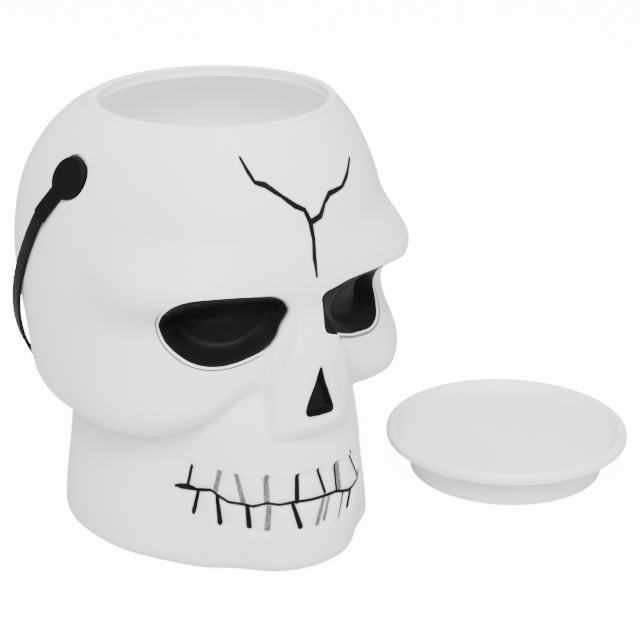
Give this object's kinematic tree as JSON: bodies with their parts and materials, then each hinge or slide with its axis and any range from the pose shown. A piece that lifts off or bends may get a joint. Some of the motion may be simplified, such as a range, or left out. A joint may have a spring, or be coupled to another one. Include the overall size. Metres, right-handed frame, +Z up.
{
  "type": "halloween skull treat pail",
  "caption": "Skull-shaped treat pail with a round opening on top, a swinging strap handle and a lift-off round lid.",
  "frame": {"origin": "middle of the flat base, on the axis of the round opening", "axes": "+Z up along the opening's axis; the face looks along -Y; +X is the viewer's right when looking at the face"},
  "size_m": [0.2562, 0.1734, 0.18],
  "materials": {
    "white_plastic": "smooth moulded, semi-matt",
    "black_plastic": "satin",
    "lid_plastic": "smooth moulded, semi-matt"
  },
  "bodies": {
    "pail": {"skull_shell": "white_plastic"},
    "handle": {"handle_strap": "black_plastic"},
    "lid": {"lid": "lid_plastic"}
  },
  "joints": [
    {"name": "handle_swing", "type": "hinge", "parent": "pail", "child": "handle", "pos_m": [0, -0.001, 0.1572], "axis": [1, 0, 0], "range_deg": [0, 285]},
    {"name": "lid_lift", "type": "slide", "parent": "pail", "child": "lid", "axis": [0, 0, 1], "range_m": [0, 0.2]}
  ]
}
